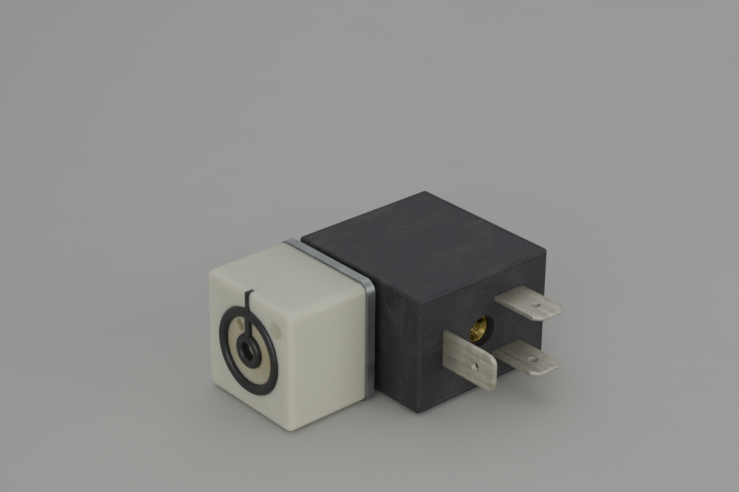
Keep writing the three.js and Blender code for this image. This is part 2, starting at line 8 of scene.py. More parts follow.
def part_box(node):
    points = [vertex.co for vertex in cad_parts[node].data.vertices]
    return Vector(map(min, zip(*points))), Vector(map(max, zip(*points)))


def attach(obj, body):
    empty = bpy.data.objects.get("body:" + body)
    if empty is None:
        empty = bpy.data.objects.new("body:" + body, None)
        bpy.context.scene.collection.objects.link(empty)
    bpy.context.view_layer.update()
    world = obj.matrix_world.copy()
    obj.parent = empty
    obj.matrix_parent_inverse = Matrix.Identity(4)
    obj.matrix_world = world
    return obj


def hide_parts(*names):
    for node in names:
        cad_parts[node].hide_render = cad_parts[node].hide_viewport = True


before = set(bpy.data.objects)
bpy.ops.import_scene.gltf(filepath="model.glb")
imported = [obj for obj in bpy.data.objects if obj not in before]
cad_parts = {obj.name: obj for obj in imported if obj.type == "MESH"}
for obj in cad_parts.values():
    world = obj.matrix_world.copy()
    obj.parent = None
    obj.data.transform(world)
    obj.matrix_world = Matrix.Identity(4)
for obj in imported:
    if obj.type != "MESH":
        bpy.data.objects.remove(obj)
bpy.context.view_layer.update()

bl_info = {
    "name": "Solenoid valve",
    "version": (1, 0, 0),
    "blender": (4, 5, 0),
    "location": "3D View > Sidebar > Valve",
    "description": "Builds the visible pieces, finishes and studio of a small solenoid valve",
    "category": "Object",
}

MM = 0.001
SLIVER = 0.003 * MM  # boolean cuts leave edges shorter than this, which are merged away
FIT = 0.05 * MM  # gap around pieces that are moulded in or seated
MARK_SPREAD = 0.98  # the port face's round marks sit a little inside the screws
X = Vector((1, 0, 0))
Y = Vector((0, 1, 0))


# ---------------------------------------------------------------- places from the frame

def middle(node):
    low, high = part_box(node)
    return (low + high) / 2


TUBE_AXIS = middle("guide_tube")
PORT_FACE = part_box("valve_body")[0].x
# Painted shade: the brown spot is the shadow of a screw tip seen through the translucent port face.
SCREW_SHADE_SPOT = Vector((0, -6.98, 6.56)) * MM  # brown spot on the port face, from the valve axis
CAMERA_AIM = Vector((20.77, -4.775, 13.47)) * MM  # from the middle of the port face
TERMINAL_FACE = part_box("coil_housing")[0].y
INSERT_AXIS = middle("connector_insert")


def at(x, radius=0.0, degrees=0.0):
    """Point at a station on the valve axis, a radius out from it, turned from +Y towards +Z."""
    turn = math.radians(degrees)
    y = TUBE_AXIS.y + radius * math.cos(turn)
    return Vector((x, y, TUBE_AXIS.z + radius * math.sin(turn)))


# ---------------------------------------------------------------- settings

def length(name, description, millimetres):
    return bpy.props.FloatProperty(
        name=name, description=description, default=millimetres * MM, min=0.0,
        subtype="DISTANCE", unit="LENGTH", precision=5,
    )


def colour(name, description, rgb):
    return bpy.props.FloatVectorProperty(
        name=name, description=description, default=rgb, size=3, min=0.0, max=1.0, subtype="COLOR",
    )


def watts(name, description, strength):
    return bpy.props.FloatProperty(name=name, description=description, default=strength, unit="POWER")


def angle(name, description, degrees):
    return bpy.props.FloatProperty(
        name=name, description=description, default=math.radians(degrees), subtype="ANGLE",
    )


class ValveSizes(bpy.types.PropertyGroup):
    coil_edge: length("Coil edge", "Rounding of the coil housing's edges", 0.6)
    coil_rim: length("Coil rim", "Width of the rim left around each sunk face of the coil", 0.3)
    coil_sink: length("Coil sink", "How far the coil's flat faces sink below their rim", 0.09)
    coil_bore: length("Coil bore", "Radius of the hole that takes the guide tube", 4.1)
    mark_radius: length("Ejector mark", "Radius of the round ejector marks on the coil", 2.1)
    mark_depth: length("Mark depth", "Depth of the ejector marks", 0.06)
    mark_side: length("Mark side", "Distance of the ejector marks from the valve axis", 12.0)
    mark_inset: length("Mark inset", "Distance of the ejector marks from the coil's top and bottom", 3.1)
    insert_mouth: length("Insert mouth", "Step out from the insert's pocket to its mouth", 0.2)
    insert_bore: length("Insert bore", "Radius of the insert's threaded hole", 1.25)
    insert_sink: length("Insert countersink", "Depth and width of the insert's countersink", 0.75)
    insert_waist: length("Insert waist", "Half the length of the groove around the insert", 0.7)
    insert_groove: length("Insert groove", "Depth of the groove around the insert", 0.3)
    insert_wall: length("Insert wall", "Thickness behind the insert's threaded hole", 0.6)
    thread_start: length("Thread start", "Depth at which the insert's thread begins", 0.35)
    thread_pitch: length("Thread pitch", "Distance from one thread turn to the next", 0.5)
    thread_height: length("Thread height", "How far the thread stands in from the hole", 0.2)
    body_corner: length("Body corner", "Rounding of the valve body's long edges", 1.4)
    body_fillet: length("Body fillet", "Rounding around the port face", 0.8)
    chamber: length("Chamber", "Radius of the chamber around the nozzle", 5.3)
    nozzle_lip: length("Nozzle lip", "Radius of the nozzle's flat lip", 1.45)
    nozzle_foot: length("Nozzle foot", "Radius of the nozzle where it meets the chamber floor", 2.3)
    nozzle_height: length("Nozzle height", "Height of the nozzle above the chamber floor", 1.2)
    inlet_break: length("Inlet depth", "How far the inlet runs on into the chamber", 0.5)
    corner_mark: length("Corner mark", "Radius of the round marks on the port face", 1.45)
    corner_mark_depth: length("Corner mark depth", "Depth of the round marks on the port face", 0.08)
    tip_room: length("Tip room", "Room left past each screw's tip", 0.15)
    orifice: length("Orifice", "Radius of the central port", 1.0)
    inlet: length("Inlet", "Radius of the port between the seal rings", 0.95)
    inlet_offset: length("Inlet offset", "Distance of that port from the valve axis", 4.3)
    inlet_angle: angle("Inlet angle", "Place of that port around the axis, from +Y towards +Z", 56)
    seal_outer: length("Outer ring", "Outer radius of the outer seal ring", 7.35)
    seal_outer_width: length("Outer ring width", "Width of the outer seal ring", 1.65)
    seal_inner: length("Inner ring", "Outer radius of the inner seal ring", 2.9)
    seal_inner_width: length("Inner ring width", "Width of the inner seal ring", 1.5)
    seal_depth: length("Groove depth", "Depth of the grooves that hold the seal", 1.2)
    seal_gap: length("Groove gap", "Gap between the seal and its groove", 0.05)
    rib_root: length("Rib root", "Width of the seal's rib at the rings", 1.05)
    rib_end: length("Rib end", "Width of the seal's rib at the body's edge", 0.65)
    rib_taper: length("Rib taper", "Length over which the seal's rib narrows", 0.8)
    plate_corner: length("Flange corner", "Rounding of the flange's corners", 2.0)
    land_depth: length("Land depth", "How far the land between the seal rings is sunk", 0.3)
    bead_shoulder: length("Bead shoulder", "Rounding of the seal rings' crown", 0.6)
    rib_proud: length("Rib height", "How far the seal's rib stands out of the port face", 0.25)
    plate_bore: length("Flange bore", "Radius of the flange's middle hole", 5.5)
    plate_hole: length("Flange hole", "Radius of the flange's screw holes", 1.6)
    thread_hole: length("Screw hole", "Radius of the screw holes in the valve body", 1.3)
    screw_spacing: length("Screw spacing", "Distance between neighbouring flange screws", 13.8)
    blade_hole: length("Blade hole", "Radius of the hole in each blade", 0.7)
    blade_edge: length("Blade edge", "Coined bevel around each blade", 0.14)
    earth_hole: length("Earth hole", "Distance of the earth blade's hole from its tip", 4.2)
    power_hole: length("Power hole", "Distance of a power blade's hole from its tip", 3.85)
    tip_chamfer: length("Tip chamfer", "Chamfer around each blade's tip", 0.2)
    earth_tip: length("Earth tip", "Corner rounding at the earth blade's tip", 1.5)
    power_tip: length("Power tip", "Corner chamfer at the power blades' tips", 1.3)


class ValveColours(bpy.types.PropertyGroup):
    nylon: colour("Nylon", "Natural polyamide of the valve body", (0.59, 0.59, 0.455))
    # Yellowed stain around the ports; also used for the painted shade where a screw tip shows through the
    # port face.
    stain_and_shade: colour("Stain", "Yellowed plastic around the ports", (0.33, 0.30, 0.16))
    coil: colour("Coil", "Black moulding compound", (0.022, 0.0225, 0.026))
    rubber: colour("Rubber", "Seal rubber", (0.018, 0.018, 0.018))
    zinc: colour("Zinc", "Plated flange", (0.34, 0.355, 0.355))
    tin: colour("Tin", "Plated blades", (0.64, 0.62, 0.50))
    brass: colour("Brass", "Turned insert", (0.36, 0.28, 0.085))
    steel: colour("Steel", "Stainless and bright steel", (0.56, 0.56, 0.55))
    copper: colour("Copper", "Winding and shading ring", (0.60, 0.25, 0.10))
    floor: colour("Floor", "Studio floor", (0.44, 0.435, 0.41))


class ValveStudio(bpy.types.PropertyGroup):
    azimuth: angle("Azimuth", "Camera direction around the valve", -41.35)
    elevation: angle("Elevation", "Camera height above the horizon", 26.905)
    roll: angle("Roll", "Camera roll", 0.543)
    distance: length("Distance", "Camera distance from its aim", 307.0)
    lens: bpy.props.FloatProperty(
        name="Lens", description="Focal length for a 36 mm sensor", default=94.9,
        subtype="DISTANCE_CAMERA",
    )
    key: watts("Key light", "Power of the main soft light", 2.05)
    fill: watts("Fill light", "Power of the light facing the port", 3.3)
    side: watts("Side light", "Power of the light facing the terminals", 2.0)
    sky: bpy.props.FloatProperty(
        name="Sky", description="Strength of the even surrounding light", default=0.4,
    )


def sizes():
    return bpy.context.scene.valve_sizes


def colours():
    return bpy.context.scene.valve_colours


# ---------------------------------------------------------------- modelling helpers

def aligned(direction):
    """Rotation that turns +Z to the given direction."""
    return Vector(direction).to_track_quat("Z", "Y").to_matrix().to_4x4()


def add_rod(bm, start, end, radius, segments=96, end_radius=None):
    """Closed cylinder or cone between two points."""
    span = end - start
    place = Matrix.Translation((start + end) / 2) @ aligned(span)
    bmesh.ops.create_cone(
        bm, cap_ends=True, segments=segments, radius1=radius,
        radius2=radius if end_radius is None else end_radius, depth=span.length, matrix=place,
    )


def add_block(bm, low, high):
    """Closed box between two corners; gives its vertices."""
    low, high = Vector(low), Vector(high)
    scale = Matrix.Diagonal((*(high - low), 1))
    made = bmesh.ops.create_cube(bm, size=1, matrix=Matrix.Translation((low + high) / 2) @ scale)
    return made["verts"]


def add_turned(bm, profile, centre, axis, steps=128):
    """Body of revolution from (station, radius) pairs; stations run along the axis from centre."""
    axis = Vector(axis)
    side = axis.orthogonal().normalized()
    verts = [bm.verts.new(centre + axis * station + side * radius) for station, radius in profile]
    edges = [bm.edges.new(pair) for pair in zip(verts, verts[1:])]
    if profile[0][1] > 0 and profile[-1][1] > 0:
        edges.append(bm.edges.new((verts[-1], verts[0])))
    bmesh.ops.spin(
        bm, geom=verts + edges, cent=centre, axis=axis, angle=2 * math.pi, steps=steps, use_merge=True,
    )


def close_up(bm):
    """Merges doubled vertices, drops flat slivers and turns all faces outwards."""
    bmesh.ops.remove_doubles(bm, verts=bm.verts, dist=1e-7)
    bmesh.ops.dissolve_degenerate(bm, edges=bm.edges, dist=1e-8)
    bmesh.ops.recalc_face_normals(bm, faces=bm.faces)


def bevel(bm, edges, offset, segments):
    bmesh.ops.bevel(
        bm, geom=list(edges), offset=offset, segments=segments, profile=0.5, affect="EDGES",
        material=-1, clamp_overlap=True,
    )


def along(edge, direction):
    vector = (edge.verts[1].co - edge.verts[0].co).normalized()
    return abs(vector.dot(direction)) > 0.999


def on_plane(edge, axis, value):
    return all(abs(v.co[axis] - value) < 1e-7 for v in edge.verts)


def plain_object(name, bm):
    close_up(bm)
    mesh = bpy.data.meshes.new(name)
    bm.to_mesh(mesh)
    bm.free()
    obj = bpy.data.objects.new(name, mesh)
    bpy.context.scene.collection.objects.link(obj)
    return obj


def combine(obj, others, operation):
    """Boolean of obj with a list of bmeshes, kept as obj's own mesh."""
    tools = [plain_object(f"{obj.name}_tool_{n}", bm) for n, bm in enumerate(others)]
    for tool in tools:
        modifier = obj.modifiers.new(tool.name, "BOOLEAN")
        modifier.operation = operation
        modifier.solver = "EXACT"
        modifier.object = tool
    graph = bpy.context.evaluated_depsgraph_get()
    made = bpy.data.meshes.new_from_object(obj.evaluated_get(graph))
    obj.modifiers.clear()
    obj.data = made
    for tool in tools:
        bpy.data.objects.remove(tool)
    if not made.polygons:
        raise RuntimeError(f"the boolean on {obj.name} left nothing")
    bm = bmesh.new()
    bm.from_mesh(made)
    bmesh.ops.remove_doubles(bm, verts=bm.verts, dist=SLIVER)
    bmesh.ops.dissolve_degenerate(bm, edges=bm.edges, dist=SLIVER)
    bm.to_mesh(made)
    bm.free()


def smooth_faces(obj, limit=35):
    """Smooth shading, except across edges that turn by more than the limit in degrees."""
    obj.data.shade_smooth()
    obj.data.set_sharp_from_angle(angle=math.radians(limit))


def soften(obj, width, segments=2, limit=35):
    """Live bevel on the sharp edges, with smooth shading between them."""
    smooth_faces(obj, limit)
    modifier = obj.modifiers.new("edges", "BEVEL")
    modifier.width = width
    modifier.segments = segments
    modifier.limit_method = "ANGLE"
    modifier.angle_limit = math.radians(limit)
    modifier.harden_normals = True
    modifier.use_clamp_overlap = True


def finish_piece(obj, body, slot, material, *nodes):
    obj.data.materials.clear()
    obj.data.materials.append(material)
    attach(obj, body)
    if nodes:
        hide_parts(*nodes)


# ---------------------------------------------------------------- material helpers

class Finish:
    """A node material under construction, with short calls for the nodes it uses."""

    def __init__(self, name, colour_rgb, roughness, metallic=0.0):
        self.material = bpy.data.materials.new(name)
        self.material.use_nodes = True
        self.tree = self.material.node_tree
        self.shader = self.tree.nodes["Principled BSDF"]
        self.base = (*colour_rgb, 1.0)
        self.shader.inputs["Base Color"].default_value = self.base
        self.shader.inputs["Roughness"].default_value = roughness
        self.shader.inputs["Metallic"].default_value = metallic
        self.coords = self.node("ShaderNodeTexCoord").outputs["Object"]
        self.normal = None

    def node(self, kind, **values):
        made = self.tree.nodes.new(kind)
        for key, value in values.items():
            setattr(made, key, value)
        return made

    def link(self, source, target):
        self.tree.links.new(source, target)

    def fill(self, socket, value):
        if isinstance(value, bpy.types.NodeSocket):
            self.link(value, socket)
        else:
            socket.default_value = value

    def mapped(self, location=(0, 0, 0), scale=(1, 1, 1), rotation=(0, 0, 0)):
        """Object coordinates moved so that location is the origin, then turned and scaled."""
        shift = self.node("ShaderNodeVectorMath", operation="SUBTRACT")
        self.link(self.coords, shift.inputs[0])
        shift.inputs[1].default_value = location
        mapping = self.node("ShaderNodeMapping")
        self.link(shift.outputs[0], mapping.inputs["Vector"])
        mapping.inputs["Rotation"].default_value = rotation
        mapping.inputs["Scale"].default_value = scale
        return mapping.outputs["Vector"]

    def noise(self, scale, detail=3.0, roughness=0.55, vector=None, distortion=0.0):
        made = self.node("ShaderNodeTexNoise")
        self.link(vector or self.coords, made.inputs["Vector"])
        made.inputs["Scale"].default_value = scale
        made.inputs["Detail"].default_value = detail
        made.inputs["Roughness"].default_value = roughness
        made.inputs["Distortion"].default_value = distortion
        return made.outputs["Fac"]

    def ramp(self, value, low, high, start=0.0, end=1.0):
        """Maps value from the range low..high to start..end, held at both ends."""
        made = self.node("ShaderNodeMapRange")
        made.interpolation_type = "SMOOTHSTEP"
        self.link(value, made.inputs["Value"])
        made.inputs["From Min"].default_value = low
        made.inputs["From Max"].default_value = high
        made.inputs["To Min"].default_value = start
        made.inputs["To Max"].default_value = end
        return made.outputs["Result"]

    def math(self, operation, first, second=0.0):
        made = self.node("ShaderNodeMath", operation=operation)
        self.fill(made.inputs[0], first)
        self.fill(made.inputs[1], second)
        return made.outputs[0]

    def distance(self, vector):
        made = self.node("ShaderNodeVectorMath", operation="LENGTH")
        self.link(vector, made.inputs[0])
        return made.outputs["Value"]

    def tint(self, factor, target, strength=1.0):
        """Mixes the base colour towards target where factor is high."""
        made = self.node("ShaderNodeMix", data_type="RGBA")
        amount = factor if strength == 1.0 else self.math("MULTIPLY", factor, strength)
        self.fill(made.inputs["Factor"], amount)
        previous = self.shader.inputs["Base Color"].links
        if previous:
            self.link(previous[0].from_socket, made.inputs["A"])
        else:
            made.inputs["A"].default_value = self.base
        made.inputs["B"].default_value = (*target, 1.0)
        self.link(made.outputs["Result"], self.shader.inputs["Base Color"])

    def rough(self, factor, low, high):
        self.link(self.ramp(factor, 0.0, 1.0, low, high), self.shader.inputs["Roughness"])

    def bump(self, height, depth):
        """Adds relief: height in 0..1 times depth in metres, on top of any earlier bump."""
        made = self.node("ShaderNodeBump")
        made.inputs["Strength"].default_value = 1.0
        made.inputs["Distance"].default_value = depth
        self.link(height, made.inputs["Height"])
        if self.normal:
            self.link(self.normal, made.inputs["Normal"])
        self.normal = made.outputs["Normal"]
        self.link(self.normal, self.shader.inputs["Normal"])


def shade(rgb, factor):
    return tuple(min(1.0, c * factor) for c in rgb)


def nylon_finish():
    c = colours()
    finish = Finish("natural_nylon", c.nylon, 0.42)
    finish.shader.subsurface_method = "RANDOM_WALK"
    finish.shader.inputs["Subsurface Weight"].default_value = 1.0
    finish.shader.inputs["Subsurface Radius"].default_value = (1.0, 0.95, 0.75)
    finish.shader.inputs["Subsurface Scale"].default_value = 3.2 * MM
    finish.shader.inputs["IOR"].default_value = 1.5
    port = finish.mapped(location=at(PORT_FACE), scale=(3.0, 1.0, 1.0))
    near_port = finish.ramp(finish.distance(port), 4.0 * MM, 10.5 * MM, 1.0, 0.0)
    blotches = finish.ramp(finish.noise(260, 3, 0.6), 0.35, 0.7)
    finish.tint(finish.math("MULTIPLY", near_port, blotches), c.stain_and_shade, 0.25)
    land = finish.ramp(finish.distance(port), 5.6 * MM, 6.2 * MM, 1.0, 0.0)
    finish.tint(land, c.stain_and_shade, 0.88)
    # Painted shade: darkens the spot where a screw tip shows through the translucent plastic, in the stain
    # colour.
    screw_shade_centre = at(PORT_FACE) + SCREW_SHADE_SPOT
    screw_shade_distance = finish.distance(finish.mapped(location=screw_shade_centre, scale=(2.0, 1.0, 1.0)))
    finish.tint(finish.ramp(screw_shade_distance, 1.0 * MM, 1.7 * MM, 1.0, 0.0), c.stain_and_shade, 0.6)
    cloud = finish.noise(70, 2, 0.5)
    finish.tint(finish.ramp(cloud, 0.35, 0.75), shade(c.nylon, 0.93), 0.6)
    # Painted shade: the body darkens over the last 8 mm towards the flange, where the flange shades the
    # translucent plastic.
    split = finish.node("ShaderNodeSeparateXYZ")
    finish.link(finish.coords, split.inputs[0])
    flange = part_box("valve_body")[1].x
    flange_painted_shade = finish.ramp(split.outputs["X"], flange - 8 * MM, flange, 0.0, 1.0)
    finish.tint(flange_painted_shade, shade(c.nylon, 0.7), 0.6)
    finish.rough(finish.noise(900, 2), 0.36, 0.52)
    grain = finish.noise(5200, 2, 0.5)
    finish.bump(grain, 0.004 * MM)
    return finish.material


def coil_finish():
    """Black compound with cloudy warm smears, a satin grain and a few pale nicks."""
    c = colours()
    finish = Finish("black_compound", c.coil, 0.5)
    finish.shader.inputs["IOR"].default_value = 1.45
    grain = finish.noise(3600, 3, 0.6)
    finish.tint(finish.ramp(grain, 0.42, 0.66), shade(c.coil, 2.1), 0.6)
    smears = finish.noise(120, 6, 0.64, vector=finish.mapped(scale=(1, 1.8, 1)), distortion=0.6)
    finish.tint(finish.ramp(smears, 0.42, 0.72), (0.062, 0.057, 0.052), 0.75)
    nicks = finish.ramp(finish.noise(1500, 1, 0.4), 0.76, 0.80)
    finish.tint(nicks, (0.16, 0.155, 0.15), 0.4)
    finish.rough(finish.ramp(smears, 0.2, 0.8), 0.54, 0.62)
    finish.bump(finish.noise(2600, 3, 0.6), 0.016 * MM)
    finish.bump(finish.noise(320, 3, 0.5), 0.025 * MM)
    return finish.material


def rubber_finish(name):
    c = colours()
    finish = Finish(name, c.rubber, 0.5)
    dust = finish.ramp(finish.noise(900, 4, 0.7), 0.45, 0.8)
    finish.tint(dust, shade(c.rubber, 2.6), 0.7)
    finish.rough(dust, 0.34, 0.56)
    finish.bump(finish.noise(3000, 2, 0.5), 0.008 * MM)
    return finish.material


def zinc_finish():
    c = colours()
    finish = Finish("zinc_flange", c.zinc, 0.42, 1.0)
    sheared = finish.mapped(scale=(0.06, 1.0, 1.0))
    streaks = finish.noise(1400, 3, 0.6, vector=sheared)
    finish.tint(finish.ramp(streaks, 0.3, 0.7), shade(c.zinc, 0.7), 0.45)
    cloud = finish.noise(240, 3, 0.6)
    finish.tint(finish.ramp(cloud, 0.4, 0.75), shade(c.zinc, 1.35), 0.6)
    finish.rough(cloud, 0.3, 0.55)
    finish.bump(streaks, 0.012 * MM)
    return finish.material


def tin_finish(name, lengthwise):
    """Brushed plated strip, with painted shade making it duller and yellower towards the root of the
    blade.
    """
    c = colours()
    finish = Finish(name, c.tin, 0.44, 0.6)
    scale = [1.0, 1.0, 1.0]
    scale[lengthwise] = 0.04
    brushed = finish.noise(1500, 5, 0.75, vector=finish.mapped(scale=tuple(scale)))
    finish.tint(finish.ramp(brushed, 0.3, 0.7), shade(c.tin, 0.5), 0.8)
    split = finish.node("ShaderNodeSeparateXYZ")
    finish.link(finish.coords, split.inputs[0])
    # Painted shade: darkens each blade over the last 5 mm towards the coil's terminal face.
    root = finish.ramp(split.outputs["Y"], TERMINAL_FACE - 5 * MM, TERMINAL_FACE, 0.0, 1.0)
    finish.tint(root, (0.20, 0.19, 0.14), 0.5)
    smudge = finish.ramp(finish.noise(420, 5, 0.7), 0.42, 0.72)
    finish.tint(smudge, (0.27, 0.255, 0.195), 0.6)
    finish.rough(smudge, 0.36, 0.56)
    finish.bump(brushed, 0.008 * MM)
    return finish.material


def metal_finish(name, rgb, low=0.22, high=0.4, grain=2600, squash=(1.0, 1.0, 1.0), relief=0.006):
    """Machined or drawn metal with fine lines, squashed along one axis where it was brushed or turned."""
    finish = Finish(name, rgb, low, 1.0)
    lines = finish.noise(grain, 3, 0.6, vector=finish.mapped(scale=squash))
    finish.tint(finish.ramp(lines, 0.3, 0.75), shade(rgb, 0.7), 0.6)
    cloud = finish.noise(300, 3, 0.6)
    finish.rough(cloud, low, high)
    finish.bump(lines, relief * MM)
    return finish.material


def moulding_finish(name, rgb):
    """Glass-filled moulding with short pale fibres near its skin."""
    finish = Finish(name, rgb, 0.5)
    fibres = finish.noise(1800, 2, 0.5, vector=finish.mapped(scale=(0.2, 1, 1)))
    finish.tint(finish.ramp(fibres, 0.5, 0.75), shade(rgb, 1.2), 0.6)
    finish.rough(finish.noise(700, 2), 0.42, 0.6)
    finish.bump(fibres, 0.006 * MM)
    return finish.material


def winding_finish():
    """Layers of enamelled wire: fine rounded ridges around the coil's axis, with a painted highlight along
    each ridge's crest.
    """
    c = colours()
    finish = Finish("winding_wire", c.copper, 0.3, 1.0)
    wave = finish.node("ShaderNodeTexWave", wave_type="BANDS", bands_direction="X", wave_profile="SIN")
    finish.link(finish.coords, wave.inputs["Vector"])
    wave.inputs["Scale"].default_value = 1900
    # Painted highlight: the copper is lightened along each ridge's crest.
    finish.tint(wave.outputs["Fac"], shade(c.copper, 1.5), 0.6)
    finish.bump(wave.outputs["Fac"], 0.05 * MM)
    return finish.material


# ---------------------------------------------------------------- CAD nodes that stay

def smoothing_group():
    """Geometry nodes that shade gently turning faces smooth and keep real edges sharp."""
    group = bpy.data.node_groups.new("edge_smoothing", "GeometryNodeTree")
    group.interface.new_socket("Geometry", in_out="INPUT", socket_type="NodeSocketGeometry")
    group.interface.new_socket("Geometry", in_out="OUTPUT", socket_type="NodeSocketGeometry")
    start = group.nodes.new("NodeGroupInput")
    end = group.nodes.new("NodeGroupOutput")
    merge = group.nodes.new("GeometryNodeMergeByDistance")
    merge.inputs["Distance"].default_value = 1e-6
    turn = group.nodes.new("GeometryNodeInputMeshEdgeAngle")
    gentle = group.nodes.new("FunctionNodeCompare")
    gentle.operation = "LESS_THAN"
    gentle.inputs["B"].default_value = math.radians(32)
    faces = group.nodes.new("GeometryNodeSetShadeSmooth")
    edges = group.nodes.new("GeometryNodeSetShadeSmooth")
    faces.domain = "FACE"
    edges.domain = "EDGE"
    link = group.links.new
    link(start.outputs[0], merge.inputs["Geometry"])
    link(merge.outputs["Geometry"], faces.inputs["Geometry"])
    link(faces.outputs["Geometry"], edges.inputs["Geometry"])
    link(turn.outputs["Unsigned Angle"], gentle.inputs["A"])
    link(gentle.outputs["Result"], edges.inputs["Shade Smooth"])
    link(edges.outputs["Geometry"], end.inputs[0])
    return group


def dress(node, material, group):
    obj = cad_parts[node]
    if not obj.material_slots:
        obj.data.materials.append(material)
    for slot in obj.material_slots:
        slot.material = material
    obj.modifiers.new("smooth", "NODES").node_group = group


class VALVE_OT_inner_parts(bpy.types.Operator):
    """Finish the pieces that keep their solid shape: screws, tube, core, plunger, bobbin and yoke"""

    bl_idname = "valve.inner_parts"
    bl_label = "Inner parts"

    def execute(self, context):
        c = colours()
        turned = metal_finish("turned_stainless", c.steel, 0.2, 0.36, squash=(1.0, 0.05, 0.05))
        copper = metal_finish("bare_copper", c.copper, 0.25, 0.4)
        wire = metal_finish("spring_wire", shade(c.steel, 1.1), 0.15, 0.3)
        plated = metal_finish("plated_screw", shade(c.steel, 1.05), 0.25, 0.42)
        strip = metal_finish("yoke_strip", (0.24, 0.25, 0.27), 0.4, 0.6, squash=(0.1, 0.1, 1.0))
        rubber = rubber_finish("ring_rubber")
        bobbin = moulding_finish("bobbin_moulding", (0.62, 0.58, 0.44))
        finishes = {
            "guide_tube": turned, "fixed_core": turned, "plunger": turned, "shading_ring": copper,
            "return_spring": wire, "yoke_frame": strip, "pole_plate": strip, "body_seal_ring": rubber,
            "seat_disc": rubber, "coil_bobbin": bobbin, "coil_winding": winding_finish(),
            "lock_washer": plated, "retaining_nut": plated,
        }
        for number in range(1, 5):
            finishes[f"flange_screw_{number}"] = plated
        group = smoothing_group()
        for node, material in finishes.items():
            dress(node, material, group)
        return {"FINISHED"}


# ---------------------------------------------------------------- coil housing

def blade_slots():
    """A cutter for each blade's slot, a hair wider than the blade, from outside the face inwards."""
    gap = Vector((FIT,) * 3)
    for node in ("earth_terminal", "power_terminal_1", "power_terminal_2"):
        low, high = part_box(node)
        low, high = low - gap, high + gap
        low.y = TERMINAL_FACE - 2 * MM
        bm = bmesh.new()
        add_block(bm, low, high)
        yield bm


def insert_pocket():
    low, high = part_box("connector_insert")
    gap = FIT
    radius = (high.x - low.x) / 2 + gap
    face = INSERT_AXIS.copy()
    face.y = TERMINAL_FACE
    recess = low.y - TERMINAL_FACE
    depth = high.y - TERMINAL_FACE + gap
    bm = bmesh.new()
    mouth = radius + sizes().insert_mouth
    profile = [(depth, 0), (depth, radius), (recess, radius), (recess, mouth), (-MM, mouth), (-MM, 0)]
    add_turned(bm, profile, face, Y, steps=96)
    return bm


def coil_cutters():
    s = sizes()
    low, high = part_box("coil_housing")
    bore = bmesh.new()
    add_rod(bore, at(low.x - MM), at(high.x + MM), s.coil_bore)
    hollow = bmesh.new()
    gap = Vector((FIT,) * 3)
    yoke_low, yoke_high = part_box("yoke_frame")
    add_block(hollow, yoke_low - gap, yoke_high + gap)
    cutters = [bore, hollow, insert_pocket(), *blade_slots()]
    rise = (high.z - low.z) / 2 - s.mark_inset
    for side in (1, -1):
        mark = bmesh.new()
        centre = at(low.x - MM) + Vector((0, -s.mark_side, side * rise))
        add_rod(mark, centre, centre + X * (MM + s.mark_depth), s.mark_radius)
        cutters.append(mark)
    return cutters


class VALVE_OT_coil_housing(bpy.types.Operator):
    """Model the coil's moulded housing with rounded edges and slightly sunk faces"""

    bl_idname = "valve.coil_housing"
    bl_label = "Coil housing"

    def execute(self, context):
        s = sizes()
        low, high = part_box("coil_housing")
        bm = bmesh.new()
        add_block(bm, low, high)
        bevel(bm, bm.edges, s.coil_edge, 6)
        broad = [face for face in bm.faces if face.calc_area() > 100 * MM * MM]
        bmesh.ops.inset_individual(bm, faces=broad, thickness=s.coil_rim, depth=0)
        bmesh.ops.inset_individual(bm, faces=broad, thickness=s.coil_rim / 2, depth=-s.coil_sink)
        housing = plain_object("coil_housing_moulding", bm)
        combine(housing, coil_cutters(), "DIFFERENCE")
        soften(housing, 0.07 * MM, 2, 40)
        finish_piece(housing, "coil", "coil_black", coil_finish(), "coil_housing")
        return {"FINISHED"}


# ---------------------------------------------------------------- valve body and seal

def screw_places():
    half = sizes().screw_spacing / 2
    return [Vector((0, y * half, z * half)) for y in (1, -1) for z in (1, -1)]


def inlet_place():
    return at(PORT_FACE, sizes().inlet_offset, math.degrees(sizes().inlet_angle))


def add_rib(bm, start_x, end_x, extra, top):
    """Prism of the seal's rib: straight across the rings, then narrowing to the body's edge."""
    s = sizes()
    bottom = TUBE_AXIS.z + s.seal_inner - s.seal_inner_width / 2
    shoulder = TUBE_AXIS.z + s.seal_outer
    root, end = s.rib_root / 2 + extra, s.rib_end / 2 + extra
    rows = [(bottom, root), (shoulder, root), (shoulder + s.rib_taper, end), (top, end)]
    outline = [(TUBE_AXIS.y - half, z) for z, half in rows]
    outline += [(TUBE_AXIS.y + half, z) for z, half in reversed(rows)]
    verts = [bm.verts.new((start_x, y, z)) for y, z in outline]
    face = bm.faces.new(verts)
    pushed = bmesh.ops.extrude_face_region(bm, geom=[face])["geom"]
    moved = [item for item in pushed if isinstance(item, bmesh.types.BMVert)]
    bmesh.ops.translate(bm, verts=moved, vec=(end_x - start_x, 0, 0))


def groove_cutters():
    s = sizes()
    outside, floor = PORT_FACE - MM, PORT_FACE + s.seal_depth
    gap = s.seal_gap
    inner = s.seal_outer - s.seal_outer_width
    ring = bmesh.new()
    profile = [(0, inner - gap), (0, s.seal_outer + gap), (MM + s.seal_depth, s.seal_outer + gap)]
    add_turned(ring, [*profile, (MM + s.seal_depth, inner - gap)], at(outside), X, steps=160)
    pocket = bmesh.new()
    add_rod(pocket, at(outside), at(floor), s.seal_inner + gap)
    land = bmesh.new()
    depth = MM + s.land_depth
    hub = s.seal_inner + gap / 2
    add_turned(land, [(0, hub), (0, inner), (depth, inner), (depth, hub)], at(outside), X, steps=160)
    rib = bmesh.new()
    add_rib(rib, outside, floor, gap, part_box("valve_body")[1].z + MM)
    return [ring, pocket, land, rib]


